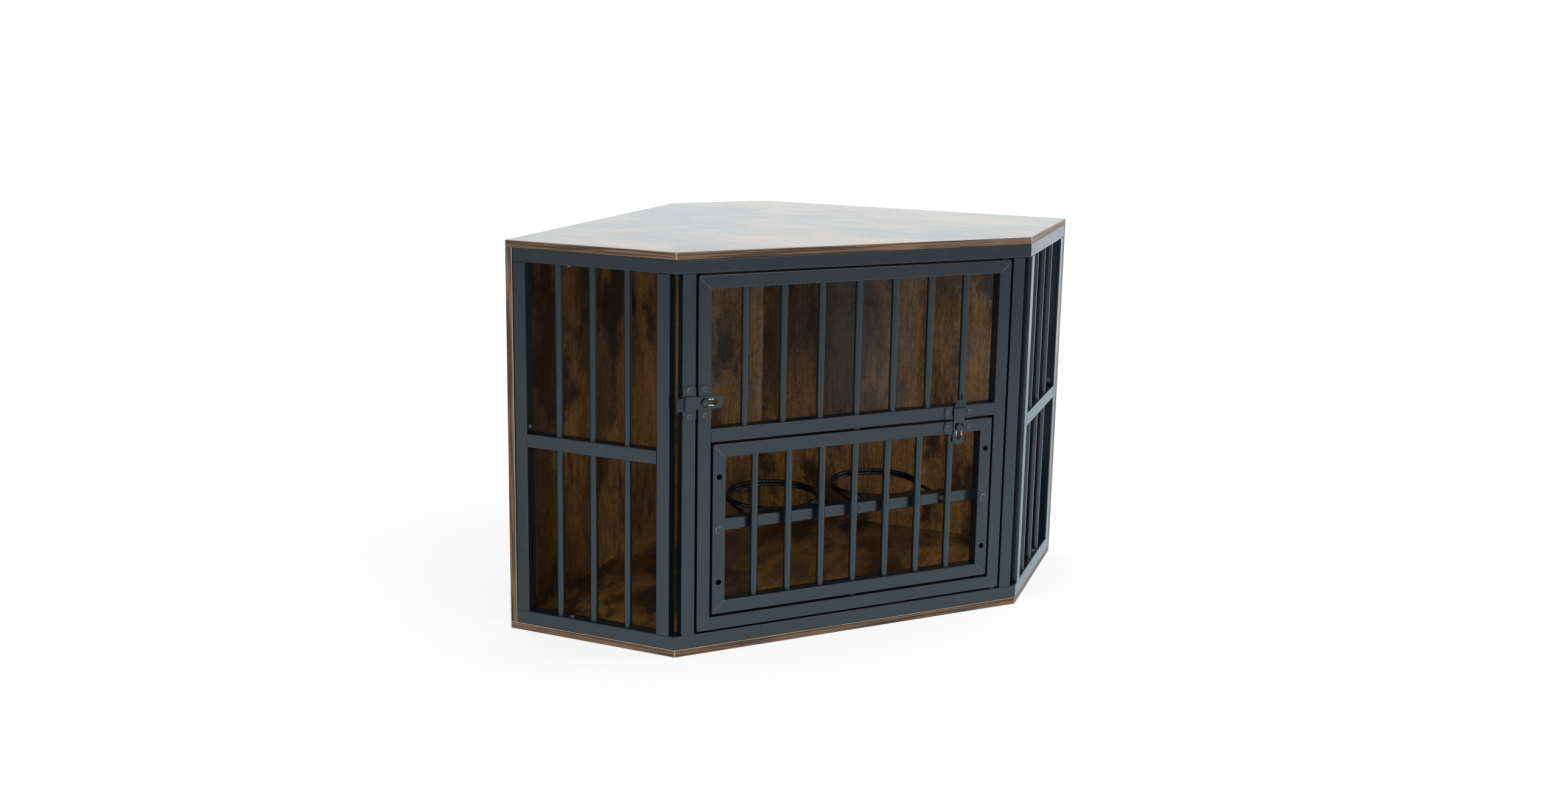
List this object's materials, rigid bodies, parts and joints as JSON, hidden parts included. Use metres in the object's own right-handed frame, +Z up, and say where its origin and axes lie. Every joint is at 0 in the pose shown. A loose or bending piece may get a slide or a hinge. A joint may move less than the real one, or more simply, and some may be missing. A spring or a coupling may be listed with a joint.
{
  "type": "dog crate end table",
  "caption": "Corner dog crate end table: hexagonal board top and floor, board back, barred steel side frames, and a hinged barred door holding a pivoting feeder door with bowl rings.",
  "frame": {"origin": "on the floor, under the middle of the table's width and depth", "axes": "+Z up; -Y is the side of the doors; +X is to the right of a person facing the doors"},
  "size_m": [1.0562, 0.6531, 0.65],
  "materials": {
    "laminate_board": "rustic brown wood-grain laminate, satin",
    "frame_paint": "dark grey powder coat, satin",
    "latch_paint": "dark grey powder coat with bright slot edges",
    "wire_paint": "near-black powder coat",
    "fastener_paint": "blackened fasteners",
    "bright_steel": "zinc plated",
    "bush_plastic": "moulded nylon"
  },
  "bodies": {
    "crate": {"cam_bolts": "bright_steel", "cam_nuts": "bright_steel", "door_pivot_pins": "bright_steel", "floor_board": "laminate_board", "floor_board_screws": "bright_steel", "frame_screws": "bright_steel", "front_bottom_rail": "frame_paint", "front_left_post": "frame_paint", "front_right_post": "frame_paint", "front_top_rail": "frame_paint", "left_back_board": "laminate_board", "left_bars": "frame_paint", "left_bottom_rail": "frame_paint", "left_front_post": "frame_paint", "left_mid_rail": "frame_paint", "left_rear_post": "frame_paint", "left_top_rail": "frame_paint", "main_latch_strap_plate": "latch_paint", "main_latch_strap_screws": "fastener_paint", "rear_corner_board": "laminate_board", "right_back_board": "laminate_board", "right_bars": "frame_paint", "right_bottom_rail": "frame_paint", "right_front_post": "frame_paint", "right_mid_rail": "frame_paint", "right_rear_post": "frame_paint", "right_top_rail": "frame_paint", "top_board": "laminate_board"},
    "main_door": {"door_bars": "frame_paint", "door_bottom_rail": "frame_paint", "door_left_stile": "frame_paint", "door_mid_rail": "frame_paint", "door_pivot_bushes": "bush_plastic", "door_right_stile": "frame_paint", "door_top_rail": "frame_paint", "feeder_latch_strap_plate": "latch_paint", "feeder_latch_strap_screws": "fastener_paint", "feeder_pivot_pins": "bright_steel", "main_latch_stud": "latch_paint", "main_latch_stud_plate": "latch_paint", "main_latch_stud_screws": "fastener_paint"},
    "feeder_door": {"bowl_crossbar": "frame_paint", "crossbar_bolts": "fastener_paint", "feeder_bars": "frame_paint", "feeder_bottom_rail": "frame_paint", "feeder_latch_stud": "latch_paint", "feeder_latch_stud_plate": "latch_paint", "feeder_latch_stud_screws": "fastener_paint", "feeder_left_stile": "frame_paint", "feeder_pivot_bushes": "bush_plastic", "feeder_right_stile": "frame_paint", "feeder_top_rail": "frame_paint", "left_bowl_ring": "wire_paint", "left_cradle_wire": "wire_paint", "right_bowl_ring": "wire_paint", "right_cradle_wire": "wire_paint", "ring_leg_screws": "fastener_paint"},
    "main_bolt": {"main_latch_slider": "latch_paint"},
    "feeder_bolt": {"feeder_latch_slider": "latch_paint"}
  },
  "joints": [
    {"name": "main_door_hinge", "type": "hinge", "parent": "crate", "child": "main_door", "pos_m": [0.2682, -0.31267, 0.325], "axis": [0, 0, 1], "range_deg": [0, 105]},
    {"name": "feeder_door_pivot", "type": "hinge", "parent": "main_door", "child": "feeder_door", "pos_m": [0, -0.30957, 0.20315], "axis": [0, 0, 1], "continuous": true},
    {"name": "main_bolt_slide", "type": "slide", "parent": "crate", "child": "main_bolt", "axis": [-1, 0, 0], "range_m": [0, 0.016]},
    {"name": "feeder_bolt_slide", "type": "slide", "parent": "main_door", "child": "feeder_bolt", "axis": [0, 0, 1], "range_m": [0, 0.016]}
  ]
}
